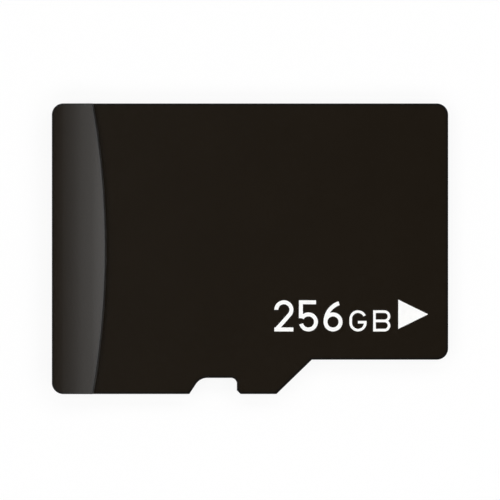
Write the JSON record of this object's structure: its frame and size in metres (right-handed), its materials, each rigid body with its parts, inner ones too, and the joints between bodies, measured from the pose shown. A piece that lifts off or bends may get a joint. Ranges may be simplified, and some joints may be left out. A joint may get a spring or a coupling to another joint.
{
  "type": "memory card",
  "caption": "Thumbnail-size black memory card with a scooped finger lip, a latch notch, a slanted shoulder, white insertion print and gold contacts under the front edge.",
  "frame": {"origin": "middle of the card's outline, on the plane of the contact side that it rests on", "axes": "+X towards the contact edge that goes into the socket first, +Y away from the notched edge, +Z out of the printed side"},
  "size_m": [0.015, 0.011, 0.001],
  "materials": {
    "moulding_compound": "fine satin, black epoxy moulding compound",
    "board_mask": "black solder mask over laminate",
    "contact_gold": "hard gold plate, lightly wiped",
    "silicon": "polished silicon",
    "die_film": "adhesive film",
    "finger_gold": "soft gold plate",
    "wire_gold": "drawn gold wire",
    "capacitor_ceramic": "fired ceramic",
    "capacitor_tin": "matte tin plate",
    "white_ink": "printed ink"
  },
  "bodies": {
    "root": {"moulded_cover": "moulding_compound", "circuit_board": "board_mask", "contact_1": "contact_gold", "contact_2": "contact_gold", "contact_3": "contact_gold", "contact_4": "contact_gold", "contact_5": "contact_gold", "contact_6": "contact_gold", "contact_7": "contact_gold", "contact_8": "contact_gold", "lower_memory_die": "silicon", "upper_memory_die": "silicon", "controller_die": "silicon", "lower_memory_die_film": "die_film", "upper_memory_die_film": "die_film", "controller_die_film": "die_film", "memory_bond_fingers": "finger_gold", "controller_bond_fingers": "finger_gold", "memory_stitch_wires": "wire_gold", "memory_bond_wires": "wire_gold", "controller_bond_wires": "wire_gold", "bulk_capacitor": "capacitor_ceramic", "bypass_capacitor_1": "capacitor_ceramic", "bypass_capacitor_2": "capacitor_ceramic", "bypass_capacitor_3": "capacitor_ceramic", "bulk_capacitor_terminals": "capacitor_tin", "bypass_capacitor_1_terminals": "capacitor_tin", "bypass_capacitor_2_terminals": "capacitor_tin", "bypass_capacitor_3_terminals": "capacitor_tin", "arrow_print": "white_ink", "capacity_print": "white_ink"}
  },
  "joints": []
}
